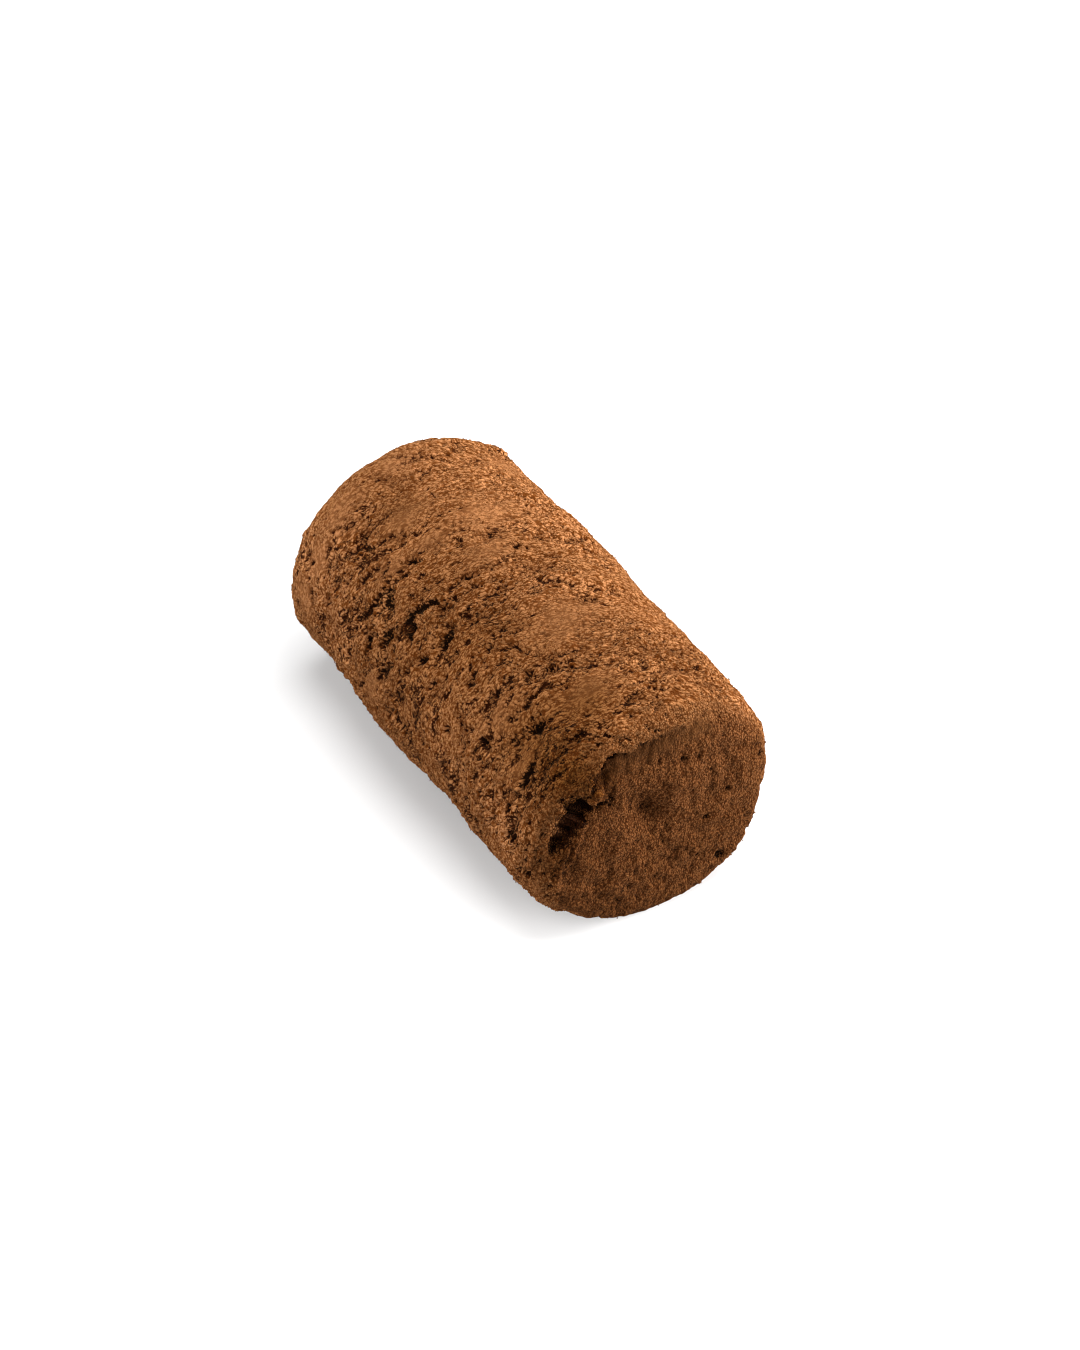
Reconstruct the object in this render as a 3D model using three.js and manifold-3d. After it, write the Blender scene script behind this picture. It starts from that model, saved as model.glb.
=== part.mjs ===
// A log-shaped chocolate truffle: a short length of piped ganache, rolled in cocoa powder and lying on its side.
// It is one solid. X runs along the log from its rounded far end to its cut near end, Z is up, and the origin is on
// the surface that it rests on, under the middle of the log. All sizes are in millimetres and all angles in degrees.

import * as THREE from "three";
import { mergeVertices } from "three/addons/utils/BufferGeometryUtils.js";
import Module from "manifold-3d";

// ---- Driving dimensions ----

const LENGTH = 34.1; // from end face to end face, along the axis
const FAR_RADIUS = 9.85; // half the width at the far end
const NEAR_RADIUS = 10.15; // half the width at the cut end, which spreads a little
const HEIGHT_SHARE = 0.97; // height over width, because soft ganache sags
const FOOT_DEPTH = 0.45; // how much of the underside is pressed flat by resting

const FAR_RIM = 2.3; // rounding of the far end's rim
const FAR_CROWN = 0.7; // how far the middle of the far end bulges
const NEAR_RIM_SHARP = 1.5; // rounding of the cut end's rim, on its lower right
const NEAR_RIM_SOFT = 2.6; // and on its upper left, where the cut dragged the edge over
const NEAR_CROWN = 0.35; // how far the middle of the cut end bulges
const SOFT_RIM_ANGLE = 125; // where round the rim the soft part is centred

const NEAR_LEAN = -0.07; // slope of the cut: its foot reaches further than its top
const NEAR_SKEW = 0.025; // slope of the cut from side to side
const FAR_SKEW = 0.03; // slope of the far end from side to side

// Broad swells and hollows of the hand-rolled side: where along the log, where round it, how far they reach each
// way, and how far they stand out (or in, if negative).
const SWELLS = [
  { x: -3, angle: 27, reachX: 5, reachAngle: 300, rise: 0.42 },
  { x: -10, angle: 27, reachX: 3, reachAngle: 40, rise: -0.2 },
  { x: 4, angle: 27, reachX: 3, reachAngle: 40, rise: -0.1 },
  { x: 14.5, angle: -160, reachX: 3, reachAngle: 18, rise: 0.35 },
  { x: 15, angle: -135, reachX: 3.5, reachAngle: 24, rise: -0.5 },
  { x: 15, angle: -95, reachX: 3.5, reachAngle: 22, rise: -0.2 },
  { x: 15, angle: -55, reachX: 3.5, reachAngle: 24, rise: 0.7 },
  { x: 15, angle: -15, reachX: 3.5, reachAngle: 22, rise: -0.45 },
];

// The cut face: a shallow thumb-like dent, and the pinched crease where the rolled skin was dragged over the rim.
const DENT = { y: -0.8, z: 10.2, reach: 2.1, depth: 0.4 };
const CREASE = { y: -6.8, z: 12.4, alongAngle: 50, reachAlong: 2.4, reachAcross: 0.85, depth: 0.9 };

// How finely the surface is divided.
const ANGLE_STEPS = 96;
const FAR_FACE_RINGS = 5;
const RIM_RINGS = 6;
const SIDE_RINGS = 18;
const NEAR_FACE_RINGS = 11;

// ---- Small helpers ----

const radians = (degrees) => (degrees * Math.PI) / 180;
const bell = (distance, reach) => Math.exp(-((distance / reach) ** 2));
const mix = (from, to, share) => from + (to - from) * share;

function angleBetween(a, b) {
  const turn = Math.abs(a - b) % 360;
  return Math.min(turn, 360 - turn);
}

// ---- The outline along the log ----

// The rim of the cut end is soft on the upper left and sharper everywhere else.
function nearRim(angle) {
  const softness = 0.5 + 0.5 * Math.cos(radians(angleBetween(angle, SOFT_RIM_ANGLE)));
  return mix(NEAR_RIM_SHARP, NEAR_RIM_SOFT, softness);
}

// The stations from the middle of the far end to the middle of the cut end. Each gives its place along the axis and
// its distance from it, for an angle round the log.
function stations() {
  const list = [];
  for (let i = 1; i <= FAR_FACE_RINGS; i++) {
    const share = i / FAR_FACE_RINGS;
    list.push(() => ({
      x: -LENGTH / 2 - FAR_CROWN * (1 - share * share),
      radius: (FAR_RADIUS - FAR_RIM) * share,
    }));
  }
  for (let i = 1; i <= RIM_RINGS; i++) {
    const turn = (i / RIM_RINGS) * (Math.PI / 2);
    list.push(() => ({
      x: -LENGTH / 2 + FAR_RIM * (1 - Math.cos(turn)),
      radius: FAR_RADIUS - FAR_RIM * (1 - Math.sin(turn)),
    }));
  }
  for (let i = 1; i < SIDE_RINGS; i++) {
    const share = i / SIDE_RINGS;
    list.push((angle) => ({
      x: mix(-LENGTH / 2 + FAR_RIM, LENGTH / 2 - nearRim(angle), share),
      radius: mix(FAR_RADIUS, NEAR_RADIUS, share),
    }));
  }
  for (let i = 0; i < RIM_RINGS; i++) {
    const turn = (i / RIM_RINGS) * (Math.PI / 2);
    list.push((angle) => ({
      x: LENGTH / 2 - nearRim(angle) * (1 - Math.sin(turn)),
      radius: NEAR_RADIUS - nearRim(angle) * (1 - Math.cos(turn)),
    }));
  }
  for (let i = NEAR_FACE_RINGS; i >= 1; i--) {
    const share = i / NEAR_FACE_RINGS;
    list.push((angle) => ({
      x: LENGTH / 2 + NEAR_CROWN * (1 - share * share),
      radius: (NEAR_RADIUS - nearRim(angle)) * share,
    }));
  }
  return list;
}

// ---- The uneven surface ----

// How far the rolled side stands out from its plain round, fading to nothing at the middle of each end.
function swellAt(x, angle, radius) {
  const fade = Math.min(1, radius / FAR_RADIUS) ** 2;
  return SWELLS.reduce(
    (sum, s) => sum + fade * s.rise * bell(x - s.x, s.reachX) * bell(angleBetween(angle, s.angle), s.reachAngle),
    0,
  );
}

// How far the cut face is pushed in at a point of it.
function faceHollow(y, z) {
  const dent = DENT.depth * bell(Math.hypot(y - DENT.y, z - DENT.z), DENT.reach);
  const turn = radians(CREASE.alongAngle);
  const along = (y - CREASE.y) * Math.cos(turn) + (z - CREASE.z) * Math.sin(turn);
  const across = -(y - CREASE.y) * Math.sin(turn) + (z - CREASE.z) * Math.cos(turn);
  const crease = CREASE.depth * bell(along, CREASE.reachAlong) * bell(across, CREASE.reachAcross);
  return dent + crease;
}

// A point of the surface. The axis is as high as the log's half height, less the flat that it rests on.
function surfacePoint({ x, radius }, angle) {
  const turn = radians(angle);
  const full = radius + swellAt(x, angle, radius);
  const y = full * Math.cos(turn);
  const up = full * Math.sin(turn) * HEIGHT_SHARE;
  const share = (x + LENGTH / 2) / LENGTH;
  const axisHeight = mix(FAR_RADIUS, NEAR_RADIUS, Math.min(1, Math.max(0, share))) * HEIGHT_SHARE - FOOT_DEPTH;
  const nearness = Math.max(0, 2 * share - 1);
  const farness = Math.max(0, 1 - 2 * share);
  const slope = nearness * (NEAR_SKEW * y + NEAR_LEAN * up) + farness * FAR_SKEW * y;
  const z = axisHeight + up;
  const hollow = nearness > 0 ? nearness ** 6 * faceHollow(y, z) : 0;
  return new THREE.Vector3(x + slope - hollow, y, z);
}

// ---- The solid ----

// A closed skin of rings, with a point at the middle of each end.
function logGeometry() {
  const rings = stations();
  const positions = [];
  const triangles = [];
  const put = (point) => positions.push(point.x, point.y, point.z);
  for (const station of rings) {
    for (let k = 0; k < ANGLE_STEPS; k++) {
      const angle = (k * 360) / ANGLE_STEPS;
      put(surfacePoint(station(angle), angle));
    }
  }
  for (let i = 0; i + 1 < rings.length; i++) {
    for (let k = 0; k < ANGLE_STEPS; k++) {
      const next = (k + 1) % ANGLE_STEPS;
      const a = i * ANGLE_STEPS + k;
      const b = i * ANGLE_STEPS + next;
      triangles.push(a, b, a + ANGLE_STEPS, b, b + ANGLE_STEPS, a + ANGLE_STEPS);
    }
  }
  const farMiddle = positions.length / 3;
  put(surfacePoint({ x: -LENGTH / 2 - FAR_CROWN, radius: 0 }, 0));
  const nearMiddle = positions.length / 3;
  put(surfacePoint({ x: LENGTH / 2 + NEAR_CROWN, radius: 0 }, 0));
  const lastRing = (rings.length - 1) * ANGLE_STEPS;
  for (let k = 0; k < ANGLE_STEPS; k++) {
    const next = (k + 1) % ANGLE_STEPS;
    triangles.push(farMiddle, next, k);
    triangles.push(nearMiddle, lastRing + k, lastRing + next);
  }
  const geometry = new THREE.BufferGeometry();
  geometry.setAttribute("position", new THREE.Float32BufferAttribute(positions, 3));
  geometry.setIndex(triangles);
  return geometry;
}

const wasm = await Module();
wasm.setup();

function solidFrom(geometry) {
  const bare = geometry.clone();
  bare.deleteAttribute("normal");
  bare.deleteAttribute("uv");
  const merged = mergeVertices(bare, 1e-4);
  return new wasm.Manifold(
    new wasm.Mesh({
      numProp: 3,
      vertProperties: new Float32Array(merged.attributes.position.array),
      triVerts: new Uint32Array(merged.index.array),
    }),
  );
}

function geometryFrom(solid) {
  const mesh = solid.getMesh();
  const geometry = new THREE.BufferGeometry();
  geometry.setAttribute("position", new THREE.BufferAttribute(new Float32Array(mesh.vertProperties), 3));
  geometry.setIndex(new THREE.BufferAttribute(new Uint32Array(mesh.triVerts), 1));
  geometry.computeVertexNormals();
  return geometry;
}

// Everything below the resting surface is cut off, which leaves the flat foot.
function restOnFoot(geometry) {
  const depth = 2 * NEAR_RADIUS;
  const below = new THREE.BoxGeometry(2 * LENGTH, 4 * NEAR_RADIUS, depth);
  below.translate(0, 0, -depth / 2);
  return geometryFrom(solidFrom(geometry).subtract(solidFrom(below)));
}

const cocoa = new THREE.MeshStandardMaterial({ color: 0x9a6138, roughness: 0.95, metalness: 0 });
const truffle = new THREE.Mesh(restOnFoot(logGeometry()), cocoa);
truffle.name = "truffle";

const model = new THREE.Group();
model.add(truffle);

export default model;
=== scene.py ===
# %% [markdown]
# # A truffle rolled in cocoa
# The real sweet is a short log of soft ganache, rolled between the palms, cut at one end and tossed in cocoa
# powder. Its shape is plain; what makes it a truffle is its skin: dry powder that lies in lumps, flakes,
# cracks and deep pits. So this lesson spends nearly everything on that skin. It loads the log as the workshop
# packed it, lays a fine net of points over it, pushes each point out or in by a worked-out relief, and then
# scatters real grains of powder on top. Sizes are written in millimetres, because that is how a maker thinks
# of a sweet, and turned into Blender's metres at the last moment.

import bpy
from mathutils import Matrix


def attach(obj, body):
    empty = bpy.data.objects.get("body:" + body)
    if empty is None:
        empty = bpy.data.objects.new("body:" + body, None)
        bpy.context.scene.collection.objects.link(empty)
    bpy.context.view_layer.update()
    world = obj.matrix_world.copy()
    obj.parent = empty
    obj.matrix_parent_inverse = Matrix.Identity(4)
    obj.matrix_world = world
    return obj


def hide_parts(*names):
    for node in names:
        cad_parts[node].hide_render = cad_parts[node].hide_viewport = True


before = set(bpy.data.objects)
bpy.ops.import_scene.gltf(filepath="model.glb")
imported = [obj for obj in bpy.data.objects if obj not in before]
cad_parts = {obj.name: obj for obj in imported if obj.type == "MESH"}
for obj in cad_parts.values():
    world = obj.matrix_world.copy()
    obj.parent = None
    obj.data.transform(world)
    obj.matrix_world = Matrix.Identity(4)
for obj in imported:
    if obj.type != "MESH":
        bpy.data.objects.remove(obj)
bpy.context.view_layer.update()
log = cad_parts["truffle"]

# %% [markdown]
# ## Tools
# Two small curves do most of the shaping below. A soft step turns any measure into a mask between 0 and 1,
# and a bell fades smoothly away from a place. Blender has both as nodes; numpy works them out for all points
# of the skin at once.

# %% Tools for the rest of the lesson
import math

import bmesh
import bpy
import numpy as np
from mathutils import Vector, noise

MM = 0.001
AXIS_HEIGHT = 9.3  # millimetres from the table to the middle of the log


def ease(value, low, high):
    """0 below low, 1 above high, and an S-shaped slope between them."""
    share = np.clip((value - low) / (high - low), 0.0, 1.0)
    return share * share * (3 - 2 * share)


def bell(distance, reach):
    """1 at no distance, fading smoothly to nothing at about twice the reach."""
    return np.exp(-((distance / reach) ** 2))


print("a bell at its reach:", round(float(bell(1.0, 1.0)), 2), " a step at its middle:", ease(0.5, 0, 1))

# %% [markdown]
# ## The camera
# The camera comes first, because every later choice is judged through it. It stands to the right of the cut
# end and looks down on the log at a little under half a right angle. A long lens from a hand's breadth away
# would stretch the near end; 100 mm from 27 cm keeps the log's sides almost parallel, as a product
# photographer would want them.

# %% Camera
CAMERA_TURN = math.radians(56.8)
CAMERA_TILT = math.radians(46.5)
CAMERA_DISTANCE = 268.0
LENS_LENGTH, SENSOR_WIDTH = 100.0, 36.0
NEAREST_SEEN, FARTHEST_SEEN = 0.01, 10.0  # metres
AIM_RIGHT, AIM_UP, AIM_HEIGHT = 1.25, -0.93, 10.0

camera_back = Vector((
    math.sin(CAMERA_TURN) * math.cos(CAMERA_TILT),
    -math.cos(CAMERA_TURN) * math.cos(CAMERA_TILT),
    math.sin(CAMERA_TILT),
))
camera_right = Vector((math.cos(CAMERA_TURN), math.sin(CAMERA_TURN), 0.0))
camera_up = camera_back.cross(camera_right)
aim = camera_right * AIM_RIGHT + camera_up * AIM_UP + Vector((0.0, 0.0, AIM_HEIGHT))

lens = bpy.data.cameras.new("studio_camera")
lens.lens = LENS_LENGTH
lens.sensor_width = SENSOR_WIDTH
lens.clip_start = NEAREST_SEEN
lens.clip_end = FARTHEST_SEEN
camera = bpy.data.objects.new("studio_camera", lens)
camera.location = (aim + camera_back * CAMERA_DISTANCE) * MM
camera.rotation_euler = (-camera_back).to_track_quat("-Z", "Y").to_euler()
bpy.context.scene.collection.objects.link(camera)
bpy.context.scene.camera = camera
print("camera at, mm:", [round(c / MM, 1) for c in camera.location])

# %% [markdown]
# ## A fine net over the log
# The imported log has a few thousand facets, far too coarse for powder. Blender could cut it up by voxel
# remeshing or by subdividing it, but both leave points where they happen to fall. Here the net is laid
# instead: rings of points along the side, closed at each end by a round patch. The patch is a square net bent
# into a disc, so that no points crowd together in its middle as they would at the pole of a sphere. All its
# squares then come out at nearly the same size, a sixth of a millimetre, which is about the size of the
# smallest lump that has to be a real shape.

# %% The blank: rings and two round patches
AROUND = 368  # points in one ring, a multiple of 8
PATCH = AROUND // 4  # squares across a round patch
PATCH_RADIUS = 7.6
BLANK_LENGTH, BLANK_RADIUS, BLANK_RIM = 34.6, 10.1, 2.2
SAG = 0.97  # height over width
RIM_STEPS = 24
SQUARE_LENGTH = 1.04  # of a square of the net along the log, over its width round it


def round_patch(steps):
    """A square net bent into a disc of radius 1: two arrays of coordinates."""
    line = np.linspace(-1, 1, steps + 1)
    a, b = np.meshgrid(line, line, indexing="ij")
    wide = abs(a) >= abs(b)
    safe_a = np.where(a == 0, 1, a)
    safe_b = np.where(b == 0, 1, b)
    turn = np.where(wide, np.pi / 4 * b / safe_a, np.pi / 2 - np.pi / 4 * a / safe_b)
    turn += np.where(np.where(wide, a, b) < 0, np.pi, 0)
    reach = np.maximum(abs(a), abs(b))
    return reach * np.cos(turn), reach * np.sin(turn)


def side_outline(steps):
    """Evenly spaced (x, radius) places: over the far rim, along the side and over the near rim."""
    arc = np.linspace(0, np.pi / 2, RIM_STEPS)
    half = BLANK_LENGTH / 2
    inner = BLANK_RADIUS - BLANK_RIM
    rim_x = BLANK_RIM * (1 - np.cos(arc))
    rim_radius = inner + BLANK_RIM * np.sin(arc)
    x = np.concatenate([[-half], -half + rim_x, (half - rim_x)[::-1], [half]])
    radius = np.concatenate([[PATCH_RADIUS], rim_radius, rim_radius[::-1], [PATCH_RADIUS]])
    run = np.concatenate([[0], np.cumsum(np.hypot(np.diff(x), np.diff(radius)))])
    even = np.linspace(0, run[-1], steps + 1)
    return np.interp(even, run, x), np.interp(even, run, radius), run[-1]


outline_length = side_outline(1)[2]
print("outline from patch to patch, mm:", outline_length.round(2))

# %% Join them into one net
RINGS = round(outline_length / (2 * math.pi * BLANK_RADIUS / AROUND * SQUARE_LENGTH))
ring_x, ring_radius, _ = side_outline(RINGS)
turns = np.arange(AROUND) * 2 * np.pi / AROUND
side_points = np.stack([
    np.repeat(ring_x, AROUND),
    np.outer(ring_radius, np.cos(turns)).ravel(),
    np.outer(ring_radius, np.sin(turns)).ravel(),
], axis=1)

patch_y, patch_z = round_patch(PATCH)
inside = np.zeros(patch_y.shape, bool)
inside[1:-1, 1:-1] = True
inner_points = PATCH_RADIUS * np.stack([patch_y[inside], patch_z[inside]], axis=1)


def patch_numbers(first_inner, first_ring):
    """The number of each point of a patch, whose rim is shared with a ring."""
    numbers = np.zeros(patch_y.shape, int)
    numbers[inside] = first_inner + np.arange(inside.sum())
    around = np.round(np.arctan2(patch_z, patch_y) * AROUND / (2 * np.pi)).astype(int) % AROUND
    numbers[~inside] = first_ring + around[~inside]
    return numbers


far_numbers = patch_numbers(len(side_points), 0)
near_numbers = patch_numbers(len(side_points) + len(inner_points), RINGS * AROUND)
far_points = np.insert(inner_points, 0, -BLANK_LENGTH / 2, axis=1)
near_points = np.insert(inner_points, 0, BLANK_LENGTH / 2, axis=1)
blank = np.concatenate([side_points, far_points, near_points])
blank[:, 2] = AXIS_HEIGHT + SAG * blank[:, 2]


def squares_of(numbers):
    """Every square of a net, as the numbers of its four corners."""
    corners = [numbers[:-1, :-1], numbers[1:, :-1], numbers[1:, 1:], numbers[:-1, 1:]]
    return np.stack(corners, axis=-1).reshape(-1, 4)


ring_numbers = np.arange((RINGS + 1) * AROUND).reshape(RINGS + 1, AROUND)
ring_numbers = np.concatenate([ring_numbers, ring_numbers[:, :1]], axis=1)
squares = np.concatenate([
    squares_of(ring_numbers)[:, ::-1],
    squares_of(far_numbers)[:, ::-1],
    squares_of(near_numbers),
])
print("net:", len(blank), "points,", 2 * len(squares), "triangles, rings", RINGS)

# %% [markdown]
# ## A flat map for the skin
# Painted or baked colour needs a way to lay the skin flat. Unrolling is the natural choice for a log: the
# side becomes one rectangle, as a label comes off a tin, and each end stays a disc. Blender's automatic
# unwrapping would cut this rough skin into thousands of scraps, so the map is written down here while the net
# is still tidy.

# %% The map, corner by corner
SIDE_TALL, DISC_ACROSS = 0.6, 0.38
DISC_MIDDLES = (0.25, 0.805), (0.75, 0.805)  # far end, near end
MAP_MARGIN = 0.004


def side_map():
    """The place on the map of each corner of the side's squares."""
    down, along = np.meshgrid(np.arange(RINGS + 1), np.arange(AROUND + 1), indexing="ij")
    corners = squares_of(np.arange(down.size).reshape(down.shape))[:, ::-1]
    flat = np.stack([along.ravel() / AROUND, SIDE_TALL * down.ravel() / RINGS], axis=1)
    return flat[corners].reshape(-1, 2)


def disc_map(middle, flipped):
    """The same for one end. The far end is seen from behind, so it is flipped."""
    corners = squares_of(np.arange(patch_y.size).reshape(patch_y.shape))
    corners = corners[:, ::-1] if flipped else corners
    flat = np.stack([patch_y.ravel(), patch_z.ravel()], axis=1) * DISC_ACROSS / 2
    return (flat * ((-1, 1) if flipped else (1, 1)) + middle)[corners].reshape(-1, 2)


far_disc, near_disc = disc_map(DISC_MIDDLES[0], True), disc_map(DISC_MIDDLES[1], False)
flat_map = np.concatenate([side_map(), far_disc, near_disc])
flat_map = MAP_MARGIN + (1 - 2 * MAP_MARGIN) * flat_map
print("map:", len(flat_map), "corners, from", flat_map.min(0).round(3), "to", flat_map.max(0).round(3))

# %% [markdown]
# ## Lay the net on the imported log
# The Shrinkwrap modifier is Blender's cling film: it moves every point to the nearest place on another
# object. That keeps the finished skin on the true shape, swells, flat foot, pinched crease and all, without
# copying its numbers.

# %% Wrap and read back
skin_mesh = bpy.data.meshes.new("cocoa_skin")
skin_mesh.from_pydata((blank * MM).tolist(), [], squares.tolist())
skin = bpy.data.objects.new("cocoa_skin", skin_mesh)
bpy.context.scene.collection.objects.link(skin)
cling = skin.modifiers.new("lie on the log", "SHRINKWRAP")
cling.target = log
cling.wrap_method = "NEAREST_SURFACEPOINT"


def read_points(mesh, kind):
    """The places ("co") or the outward directions ("normal") of all points of a mesh."""
    flat = np.empty(3 * len(mesh.vertices))
    mesh.vertices.foreach_get(kind, flat)
    return flat.reshape(-1, 3)


bpy.context.view_layer.update()
wrapped = skin.evaluated_get(bpy.context.evaluated_depsgraph_get())
base = read_points(wrapped.data, "co") / MM
skin.modifiers.remove(cling)
skin_mesh.vertices.foreach_set("co", (base * MM).ravel())
skin_mesh.update()

edges = np.empty(2 * len(skin_mesh.edges), int)
skin_mesh.edges.foreach_get("vertices", edges)
edges = edges.reshape(-1, 2)
neighbour_count = np.bincount(edges.ravel(), minlength=len(base))


def soften(values, passes):
    """Each point takes the mean of itself and its neighbours, several times over."""
    for _ in range(passes):
        total = values + np.bincount(edges[:, 0], values[edges[:, 1]], len(base))
        total += np.bincount(edges[:, 1], values[edges[:, 0]], len(base))
        values = total / (1 + neighbour_count)
    return values


outward = np.stack([soften(column, 6) for column in read_points(skin_mesh, "normal").T], axis=1)
outward /= np.linalg.norm(outward, axis=1, keepdims=True)
x, y, z = base.T
print("wrapped, mm:", base.min(0).round(2), base.max(0).round(2))

# %% [markdown]
# ## Three kinds of unevenness
# All powder texture here is built from Blender's own noises. Soft noise gives hills and hollows, for the hand
# of the person who rolled it. Fractal noise lays several sizes of it on top of each other and looks broken,
# as a dry crust does. Cell noise gives round-topped lumps, for powder that has balled together. Rolling drags
# everything round the log, so on the side all of them are stretched along streaks that lean as the log was
# turned, and a slow wander bends the rows so that they never look woven. The flat ends weren't rolled:
# nothing is stretched there. A Displace modifier with a texture would be the usual way, but a texture can't
# follow the streaks.

# %% The lie of the streaks
end_share = ease(abs(outward[:, 0]), 0.55, 0.85)  # 0 on the side, 1 on the ends
round_turn = np.degrees(np.arctan2(z - AXIS_HEIGHT, y)) % 360
# degrees round the log, from +Y over the top: degrees by which the streaks lean towards the near end
STREAK_LEAN = {0: 0, 30: -14, 80: -17, 95: -12, 117: -10, 131: -4, 141: 2, 155: 7, 170: 8, 190: 0}
TAKEN_BACK = 190, 360  # where the drift is taken back, so that the streaks close round the log


def read_round(table, degrees):
    """Values in between those of a table that is given by degrees round the log."""
    return np.interp(degrees, list(table), list(table.values()), period=360)


every_degree = np.arange(361)
lean = np.tan(np.radians(read_round(STREAK_LEAN, every_degree)))
drift = np.cumsum(lean) * BLANK_RADIUS * math.pi / 180
drift -= drift[-1] * ease(every_degree, *TAKEN_BACK)
print("streaks drift along the log by, mm:", drift.min().round(1), "to", drift.max().round(1))

# %% Noise, stretched along the streaks
def soft_noise(places, shift):
    """One size of hills and hollows."""
    return np.array([noise.noise(spot) for spot in (places + shift).tolist()])


def broken_noise(places, shift):
    """Four sizes of noise on top of each other, each about half as wide as the last, as on a crust."""
    return np.array([noise.fractal(spot, 0.75, 2.1, 4) for spot in (places + shift).tolist()])


def plain_noise(places, shift):
    """Two sizes of noise, for the broad lie of the plates."""
    return np.array([noise.fractal(spot, 0.9, 2.1, 2) for spot in (places + shift).tolist()])


def lump_noise(places, shift):
    """1 at the middle of a lump and 0 in the cracks between lumps."""
    near = np.array([noise.voronoi(spot)[0][:2] for spot in (places + shift).tolist()])
    return 1 - (near[:, 0] / near[:, 1]) ** 2


def rolled(pattern, size, stretch, shift):
    """A pattern, stretched along the streaks but not on the ends. size is in millimetres, across them."""
    made = np.zeros(len(base))
    side, end = end_share < 1, end_share > 0
    made[side] = pattern(flow[side] / (size, size * stretch, size * stretch), shift) * (1 - end_share[side])
    made[end] += pattern(wandering[end] / (size * 1.15), shift) * end_share[end]
    return made


def steady(values):
    """The same pattern about 0 and with a usual size of 1, so that heights can be given in millimetres."""
    return (values - values.mean()) / values.std()


wander = np.stack([soft_noise(base / 3.1, shift) for shift in (11.3, 27.9, 43.1)], axis=1)
shiver = np.stack([soft_noise(base / 0.75, shift) for shift in (3.7, 19.2, 36.6)], axis=1)
wandering = base + 0.5 * wander + 0.12 * shiver
flow = wandering.copy()
flow[:, 0] -= np.interp(round_turn, every_degree, drift)
print("share of points on the ends:", round(float((end_share > 0.5).mean()), 3))

# %% [markdown]
# ## Where the coat ends and the cut face begins
# The near end was cut after rolling, and its face took a thinner, smoother coat. The rolled coat folds over
# the rim and stops in a ragged lip that is easiest to write as a distance from the middle of the face for
# each direction round it. Blending two full finishes by this one mask is far simpler than modelling the lip
# as a separate piece.

# %% The edge of the cut face
FACE_EDGE = {  # degrees round the face from +Y, over the top: millimetres from the middle
    20: 9.9, 42: 9.4, 57: 8.8, 66: 8.3, 76: 7.9, 87: 7.8, 98: 7.9, 108: 8.1, 114: 8.5, 119: 8.6, 125: 8.4,
    131: 7.9, 137: 7.5, 150: 7.2, 168: 7.4, 180: 8.1, 190: 8.5, 205: 9.0, 230: 9.5, 270: 9.6, 320: 10.0,
}
face_reach = np.hypot(y, z - AXIS_HEIGHT)
edge_reach = read_round(FACE_EDGE, round_turn)
# degrees as before: over how many millimetres the coat gives way
EDGE_BLEND = {20: 0.9, 60: 1.0, 85: 0.7, 104: 0.16, 215: 0.16, 250: 0.6, 320: 0.9}
ragged = 0.45 * soft_noise(base / 0.9, 5.5) + 0.3 * soft_noise(base / 0.35, 8.8)
inside_edge = edge_reach - face_reach + ragged
near_end = ease(x, 14.0, 15.2)
cut_face = near_end * ease(inside_edge / read_round(EDGE_BLEND, round_turn), -1, 1)
print("cut face covers", round(float(cut_face.mean()) * 100, 1), "% of the net")

# %% [markdown]
# ## Rough and rubbed places
# A coat of powder isn't equally rough all over. In some patches it has been rubbed flat by a finger, two
# bands along the side and the far end are worn by lying and rolling, and elsewhere the powder stands in
# crumbs. These masks say how rough each place is. They could be painted in Weight Paint mode, but spots with
# a reach take less work and can be read. Without them the whole skin would look like sandpaper.

# %% Rough and rubbed places
RUBBED = [  # millimetres along the log, degrees round it, reach in millimetres
    (-10.1, 112, 1.4), (-6.6, 86, 1.7), (-3.1, 95, 1.2), (5.4, 91, 1.8), (8.4, 138, 1.5), (-7.4, 129, 0.9),
    (12.0, 142, 1.2), (11.9, 103, 1.3), (-6.7, 110, 1.0), (-13.5, 205, 1.6), (2.0, 20, 1.8), (-9.0, 330, 2.0),
    (7.0, 235, 1.7), (10.0, 350, 1.6), (-4.0, 275, 1.8), (-12.0, 45, 1.5), (-14.3, 128, 1.6),
    (-13.6, 152, 1.3), (-14.8, 98, 1.4), (-14.2, 176, 1.5), (-3.8, 176, 1.0),
]


def soft_spot(along, degrees, reach, wide=1.0):
    """1 at a place on the side, fading away round it. wide over 1 makes it longer round the log."""
    turn = math.radians(degrees)
    aimed = np.array([along, 10 * math.cos(turn), AXIS_HEIGHT + 10 * math.sin(turn)])
    gap = base - base[np.argmin(((base - aimed) ** 2).sum(1))]
    return bell(np.hypot(gap[:, 0], np.hypot(gap[:, 1], gap[:, 2]) / wide), reach)


rubbed = np.zeros(len(base))
for along, degrees, reach in RUBBED:
    rubbed = np.maximum(rubbed, soft_spot(along, degrees, reach, 1.5))
WORN_BANDS = 27, 209  # degrees round the log
worn = sum(0.8 * bell(round_turn - degrees, 15) for degrees in WORN_BANDS)
worn = np.maximum(worn, ease(-x, 13.8, 16.0))
roughness_here = 0.75 + 1.0 * rolled(soft_noise, 3.4, 1.5, 71.0)
roughness_here = np.clip(roughness_here, 0.35, 1.2) * (1 - 0.7 * rubbed) * (1 - 0.55 * worn)
roughness_here *= 1 - 0.45 * soft_spot(-11.0, 80, 6.0)
roughness_here += 0.35 * soft_spot(12.0, 132, 3.2) * (1 - rubbed)
print("rubbed:", round(float((rubbed > 0.5).mean()), 3), " roughness:", roughness_here.min().round(2), "to",
      roughness_here.max().round(2))
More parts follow.
